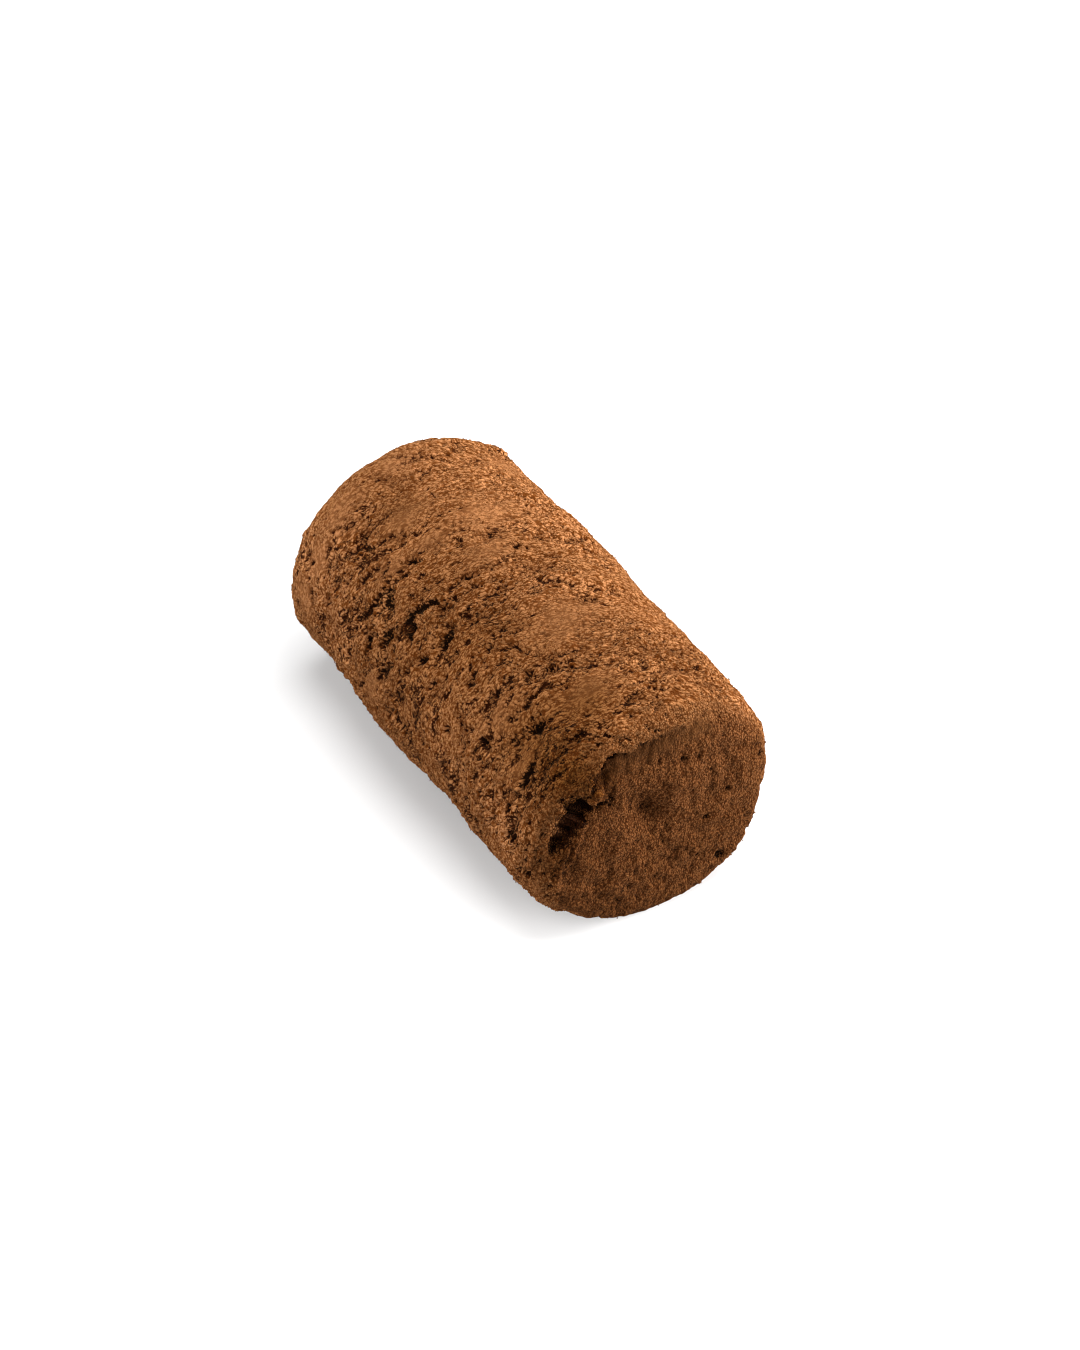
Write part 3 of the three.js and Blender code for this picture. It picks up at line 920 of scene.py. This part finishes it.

# %% [markdown]
# ## The powder's colour
# Cocoa is not one brown. Dry powder on the high spots is a light orange-brown, packed powder is a middle
# brown, and the ganache that shows at the bottom of a pit is nearly black. One shader node group makes that
# mottling, and it paints shade too: each grain darkens towards its edges, and the gaps between grains go
# nearly black, as their own shadows would make them. The skin and all four kinds of grain each place the
# group with their own values. Only a colour and three plain values come out of the group; the shader itself
# stays in each material, so that nothing is lost when the model is exported.

# %% The shared powder group
def powder_group():
    """Mottled powder: lumps of two colours, each darker towards its edges as painted shade, dark gaps of
    painted shade between them, and a height for the bump.
    """
    tree = bpy.data.node_groups.new("cocoa_powder", "ShaderNodeTree")
    for name, kind, value in (
        ("Place", "Vector", (0, 0, 0)),
        ("Light", "Color", (0.60, 0.25, 0.09, 1)),
        ("Dark", "Color", (0.15, 0.04, 0.01, 1)),
        ("Gap", "Color", (0.04, 0.012, 0.003, 1)),
        ("Grain Size", "Float", 0.14),
        ("Grain Relief", "Float", 0.090),
        ("Gap Size", "Float", 0.34),
        ("Gap Share", "Float", 0.42),
    ):
        socket = tree.interface.new_socket(name, in_out="INPUT", socket_type="NodeSocket" + kind)
        socket.default_value = value
    tree.interface.new_socket("Color", in_out="OUTPUT", socket_type="NodeSocketColor")
    for name in ("Height", "Patch", "Rise"):
        tree.interface.new_socket(name, in_out="OUTPUT", socket_type="NodeSocketFloat")
    given, made = tree.nodes.new("NodeGroupInput").outputs, tree.nodes.new("NodeGroupOutput")

    grain_scale = arithmetic(tree, "DIVIDE", 1.0, given["Grain Size"])
    shaken = cloud(tree, given["Place"], arithmetic(tree, "MULTIPLY", grain_scale, 1.3), 1.0)["Color"]
    shaken = arithmetic(tree, "SUBTRACT", shaken, (0.5, 0.5, 0.5), kind="VectorMath")
    shaken = arithmetic(tree, "MULTIPLY", shaken, (0.10, 0.10, 0.10), kind="VectorMath")
    cells = tree.nodes.new("ShaderNodeTexVoronoi")
    put(tree, cells.inputs["Vector"], arithmetic(tree, "ADD", given["Place"], shaken, kind="VectorMath"))
    put(tree, cells.inputs["Scale"], grain_scale)
    tone = tree.nodes.new("ShaderNodeSeparateColor")
    put(tree, tone.inputs["Color"], cells.outputs["Color"])
    speck = cloud(tree, given["Place"], arithmetic(tree, "MULTIPLY", grain_scale, 2.4), 1.0)["Fac"]
    torn = cloud(tree, given["Place"], arithmetic(tree, "DIVIDE", 1.0, given["Gap Size"]), 3.0)["Fac"]
    patch = cloud(tree, given["Place"], 0.42, 4.0)["Fac"]

    rise = arithmetic(tree, "SUBTRACT", arithmetic(tree, "MULTIPLY", speck, 0.6), cells.outputs["Distance"])
    rise = arithmetic(tree, "MULTIPLY_ADD", tone.outputs["Red"], 0.35, rise)
    standing = slope(tree, rise, -0.24, 0.28)
    gap = slope(tree, torn, given["Gap Share"], arithmetic(tree, "SUBTRACT", given["Gap Share"], 0.07))
    broad = arithmetic(tree, "MULTIPLY_ADD", gap, -0.05, arithmetic(tree, "MULTIPLY", torn, 0.16))
    height = arithmetic(tree, "MULTIPLY_ADD", rise, given["Grain Relief"], broad)
    # painted shade: the low edges of each grain take the Dark colour and the gaps the Gap colour
    speckled = mix_colour(tree, standing, given["Dark"], given["Light"])
    colour = mix_colour(tree, gap, speckled, given["Gap"])
    for name, result in (("Color", colour), ("Height", height), ("Patch", patch), ("Rise", standing)):
        put(tree, made.inputs[name], result)
    return tree


powder = powder_group()
print("powder group:", [item.name for item in powder.interface.items_tree])

# %% [markdown]
# ## What the cocoa materials share
# The skin and the grains are the same stuff, so their materials begin and end alike: the powder group at the
# start, and at the end a dry, dull finish with a bump for what is too fine for the net. As functions they
# stay alike.

# %% Helpers for a powdery material
def add_powder(tree, place, light, dark, gap, **settings):
    """The powder group with its own colours. Further settings go by the names of its sockets."""
    placed = tree.nodes.new("ShaderNodeGroup")
    placed.node_tree = powder
    named = {name.replace("_", " ").title(): value for name, value in settings.items()}
    for name, value in {"Place": place, "Light": light, "Dark": dark, "Gap": gap, **named}.items():
        put(tree, placed.inputs[name], value)
    return placed.outputs


def object_place(tree, turn=0.0, factors=(1.0, 1.0, 1.0)):
    """The place on the piece in millimetres, turned about the log's axis and squeezed."""
    turned = tree.nodes.new("ShaderNodeVectorRotate")
    turned.rotation_type = "X_AXIS"
    put(tree, turned.inputs["Vector"], tree.nodes.new("ShaderNodeTexCoord").outputs["Object"])
    put(tree, turned.inputs["Angle"], turn)
    squeezed = tuple(factor / MM for factor in factors)
    return arithmetic(tree, "MULTIPLY", turned.outputs["Vector"], squeezed, kind="VectorMath")


def mask(tree, name, output="Fac"):
    stored = tree.nodes.new("ShaderNodeAttribute")
    stored.attribute_name = name
    return stored.outputs[output]


def with_tone(tree, colour):
    """A colour made lighter or darker by the tone kept on the mesh, which also holds painted light and shade.
    """
    return times(tree, colour, mix_colour(tree, mask(tree, "tone"), (0.50, 0.43, 0.24), (1.50, 1.60, 1.86)))


def sunk(tree, depth, rise):
    """1 where a place is in shade. The gaps between grains go dark first, the tops of the grains last."""
    return slope(tree, arithmetic(tree, "MULTIPLY_ADD", rise, -0.5, depth), 0.0, 0.5)


def dry_finish(tree, shader, colour, roughness, height, strength, distance, sheen):
    """What all the cocoa has in common: hardly any gloss, dull flat light, and a dusty edge."""
    bump = tree.nodes.new("ShaderNodeBump")
    put(tree, bump.inputs["Strength"], strength)
    put(tree, bump.inputs["Distance"], distance * MM)
    put(tree, bump.inputs["Height"], height)
    for name, value in (
        ("Base Color", colour), ("Roughness", roughness), ("Normal", bump.outputs["Normal"]),
        ("Specular IOR Level", 0.02), ("Diffuse Roughness", 0.5),
        ("Sheen Weight", sheen), ("Sheen Roughness", 0.45), ("Sheen Tint", (0.80, 0.40, 0.17)),
    ):
        put(tree, shader.inputs[name], value)


print("cocoa_powder has", len(powder.nodes), "nodes")

# %% [markdown]
# ## The skin's material
# The skin carries both finishes. The rolled coat is light powder over a darker ground; the cut face is a
# thinner coat on ganache, redder and darker. The stored masks choose between them. Then the colour is worked
# over in steps, as a painter lays on glazes: rubbed powder is evened out, and on the face a band under the
# coat's edge is made smooth and darker as painted shade; crests get lighter powder and a painted highlight;
# painted shade goes into hollows; slow patches and the broad tones, which carry painted light and shade as
# well, are laid over; and the pits' floors, partly ganache and partly painted shade, and the painted shade
# under the lip and in the dells come last. Cocoa is dead matt: no coat, hardly any mirror-like reflection,
# and half of the shader's own diffuse roughness, which flattens the light as dry powder does. A little sheen
# gives it a soft bright edge.

# %% Skin material
skin_material, tree, shader = new_material("cocoa_skin")
face_mask, end_mask, rough_mask = mask(tree, "cut_face"), mask(tree, "end"), mask(tree, "rough")
side_place = arithmetic(tree, "MULTIPLY", mask(tree, "flow", "Vector"), (1.0, 0.52, 0.52), kind="VectorMath")
end_place = object_place(tree, math.radians(90) - DRAG_LEAN, (1.0, 1.0, 0.75))

# light, dark and gap colours: the gap is painted shade between grains, and the dark is partly painted shade
COAT = (0.370, 0.153, 0.0525), (0.100, 0.025, 0.0030), (0.0150, 0.0028, 0.0004)
FACE = (0.215, 0.077, 0.0225), (0.062, 0.0155, 0.0022), (0.015, 0.0034, 0.0006)
# painted shade in the gaps of smooth places; the pits' floor is partly dark ganache and partly painted shade
SMOOTH_GAP, PIT_FLOOR = (0.050, 0.0140, 0.0026), (0.007, 0.002, 0.0005)
# rubbed powder on the coat, and the smooth painted shade of the band on the face under the coat's edge
SMOOTH_COAT, SMOOTH_FACE = (0.225, 0.090, 0.031), (0.128, 0.048, 0.0140)
# what the colour is multiplied by: random patches, lighter powder with a painted highlight on crests, and
# painted shade in hollows, under the lip and in dells
PATCH_FROM, PATCH_TO = (0.72, 0.70, 0.68), (1.28, 1.29, 1.30)
ON_CREST, IN_HOLLOW = (1.28, 1.31, 1.36), (0.14, 0.082, 0.048)
UNDER_LIP, IN_DELL = (0.58, 0.56, 0.52), (0.58, 0.52, 0.46)

gap_colour = mix_colour(tree, rough_mask, SMOOTH_GAP, COAT[2])
end_colours = [mix_colour(tree, face_mask, on_coat, on_face) for on_coat, on_face in zip(COAT, FACE)]
side_powder = add_powder(tree, side_place, *COAT[:2], gap_colour,
                         grain_relief=mix_value(tree, rough_mask, 0.095, 0.150),
                         gap_share=mix_value(tree, rough_mask, 0.29, 0.42))
end_powder = add_powder(tree, end_place, *end_colours,
                        grain_relief=0.150, gap_share=mix_value(tree, rough_mask, 0.28, 0.38))
colour = mix_colour(tree, end_mask, side_powder["Color"], end_powder["Color"])
height = mix_value(tree, end_mask, side_powder["Height"], end_powder["Height"])
rise = mix_value(tree, end_mask, side_powder["Rise"], end_powder["Rise"])

# rubbed powder is evened out; on the face the same mask lays the smooth, darker band of painted shade
smear_share = mix_value(tree, mask(tree, "smeared"), 0.0, 0.6)
smooth_powder = mix_colour(tree, face_mask, SMOOTH_COAT, SMOOTH_FACE)
colour = mix_colour(tree, smear_share, colour, smooth_powder)
height = mix_value(tree, smear_share, height, 0.0)
# crests: lighter powder and a painted highlight
colour = mix_colour(tree, mask(tree, "crest"), colour, times(tree, colour, ON_CREST))
# painted shade in hollows, under flake edges and in the crease; the gaps between grains darken first
in_hollow = sunk(tree, mask(tree, "hollow"), rise)
colour = mix_colour(tree, in_hollow, colour, times(tree, colour, IN_HOLLOW))
# random patches, then the tone, which also lays on painted light and shade
patchy = mix_colour(tree, side_powder["Patch"], PATCH_FROM, PATCH_TO)
colour = with_tone(tree, times(tree, colour, patchy))
# pit floors: partly the dark ganache, partly painted shade
colour = mix_colour(tree, sunk(tree, mask(tree, "pit"), rise), colour, PIT_FLOOR)
# painted shade under the lip
colour = mix_colour(tree, mask(tree, "under_lip"), colour, times(tree, colour, UNDER_LIP))
# painted shade in the dells
colour = mix_colour(tree, mask(tree, "dell"), colour, times(tree, colour, IN_DELL))

roughness = mix_value(tree, side_powder["Patch"], 0.82, 1.0)
dry_finish(tree, shader, colour, roughness, height, strength=1.0, distance=1.0, sheen=0.09)
skin_mesh.materials.append(skin_material)
print("skin material:", len(tree.nodes), "nodes")

# %% [markdown]
# ## The grains' materials
# Loose grains are drier than the skin that they lie on, and the finer they are the lighter they look, so each
# kind has its own colours in the same powder group. A shade kept for each grain makes neighbours differ, and
# the tone of the skin below is kept too, with its painted light and shade and the painted shade of the
# hollows, so that a dark area stays dark under its powder. A Random node could shade whole objects apart, but
# not the grains inside one.

# %% Grain materials
def grain_material(name, light, dark):
    material, tree, shader = new_material(name)
    # painted shade in the gaps between grains
    gap = tuple(0.35 * part for part in dark)
    spread = add_powder(tree, object_place(tree), light, dark, gap, gap_share=0.34)
    shade = mix_colour(tree, mask(tree, "shade"), (0.55, 0.50, 0.46), (1.1, 1.08, 1.06))
    colour = with_tone(tree, times(tree, spread["Color"], shade))
    roughness = mix_value(tree, spread["Patch"], 0.85, 1.0)
    dry_finish(tree, shader, colour, roughness, spread["Height"], strength=0.8, distance=0.7, sheen=0.17)
    return material


for piece, name, light, dark in (
    (clots, "cocoa_clot", (0.340, 0.140, 0.047), (0.110, 0.030, 0.005)),
    (crumbs, "cocoa_crumb", (0.360, 0.150, 0.052), (0.125, 0.036, 0.0065)),
    (grains, "cocoa_grain", (0.390, 0.168, 0.060), (0.160, 0.050, 0.010)),
    (dusting, "cocoa_dust", (0.390, 0.168, 0.060), (0.160, 0.050, 0.010)),
):
    piece.data.materials.append(grain_material(name, light, dark))
    print(piece.name, "has the material", name)

# %% [markdown]
# ## Tie the pieces to the part
# The truffle is one body, and all five pieces ride on it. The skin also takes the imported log's place in the
# picture.

# %% Tie the pieces to the part
for piece in (skin, clots, crumbs, grains, dusting):
    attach(piece, "root")
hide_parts("truffle")
print("the skin replaces the packed log; five pieces ride on the root")

# %% [markdown]
# ## Table and light
# The truffle lies on plain white. The main soft box stands low, behind it and to the right; it lights the
# right edge and lays a soft shadow to the left. Weaker ones stand near it, above it, at the left and at the
# far left, and one more lights only the table, by light linking. The world's own light stands in for a white
# room. Table and world look brighter to the camera than to the truffle, which a Light Path node tells apart:
# the white stays white, and no glare from below lightens the truffle's shaded side. An environment image
# would be quicker, but can't be taken apart so.

# %% Floor
FLOOR_HALF, FLOOR_DROP = 0.25, 0.00002  # metres; the drop keeps the table out of the truffle's foot
floor_mesh = bpy.data.meshes.new("white_table")
corners = [(FLOOR_HALF * side, FLOOR_HALF * end, 0) for side, end in ((-1, -1), (1, -1), (1, 1), (-1, 1))]
floor_mesh.from_pydata(corners, [], [(0, 1, 2, 3)])
floor = bpy.data.objects.new("white_table", floor_mesh)
floor.location.z = -FLOOR_DROP
bpy.context.scene.collection.objects.link(floor)
table_material, tree, shader = new_material("white_table")
to_camera = tree.nodes.new("ShaderNodeLightPath").outputs["Is Camera Ray"]
for name, value in (
    ("Roughness", 0.9), ("Specular IOR Level", 0.1), ("Emission Color", (1, 1, 1)),
    ("Base Color", mix_value(tree, to_camera, 0.36, 0.62)),
    ("Emission Strength", mix_value(tree, to_camera, 0.0, 0.185)),
):
    put(tree, shader.inputs[name], value)
floor_mesh.materials.append(table_material)
print("table:", 2 * FLOOR_HALF, "m wide")

# %% Lights
BOX_DISTANCE = 0.6


def soft_box(name, turn, height, spread, strength, distance=BOX_DISTANCE):
    """A round soft box. turn is degrees from +X towards +Y, height is degrees above the table, spread is how
    many degrees wide the box looks from the log, and strength is the light it gives."""
    lamp = bpy.data.lights.new(name, "AREA")
    lamp.shape = "DISK"
    lamp.size = 2 * distance * math.tan(math.radians(spread / 2))
    lamp.energy = strength * (math.pi * distance) ** 2
    box = bpy.data.objects.new(name, lamp)
    turn, height = math.radians(turn), math.radians(height)
    way = Vector((math.cos(turn) * math.cos(height), math.sin(turn) * math.cos(height), math.sin(height)))
    box.location = way * distance + Vector((0, 0, AXIS_HEIGHT * MM))
    box.rotation_euler = way.to_track_quat("Z", "Y").to_euler()
    bpy.context.scene.collection.objects.link(box)
    return box


soft_box("side_box", 68, 12, 20, 2.55)
soft_box("near_box", 90, 55, 40, 0.48, 0.10)
soft_box("top_box", 0, 90, 32, 0.80)
soft_box("left_box", 270, 24, 34, 0.74)
soft_box("far_left_box", 225, 50, 26, 0.18)

table_box = soft_box("table_box", 15, 26, 50, 1.50)
only_the_table = bpy.data.collections.new("lit_by_table_box")
only_the_table.objects.link(floor)
table_box.light_linking.receiver_collection = only_the_table
print("lamps:", [lamp.name for lamp in bpy.data.lights])

# %% The white room
world = bpy.data.worlds.new("white_room")
world.use_nodes = True
tree = world.node_tree
background = tree.nodes["Background"]
to_camera = tree.nodes.new("ShaderNodeLightPath").outputs["Is Camera Ray"]
put(tree, background.inputs["Color"], (1, 1, 1))
put(tree, background.inputs["Strength"], mix_value(tree, to_camera, 0.10, 0.95))
bpy.context.scene.world = world
bpy.context.scene.view_settings.view_transform = "Standard"
bpy.context.scene.cycles.filter_width = 1.1
print("world:", world.name)
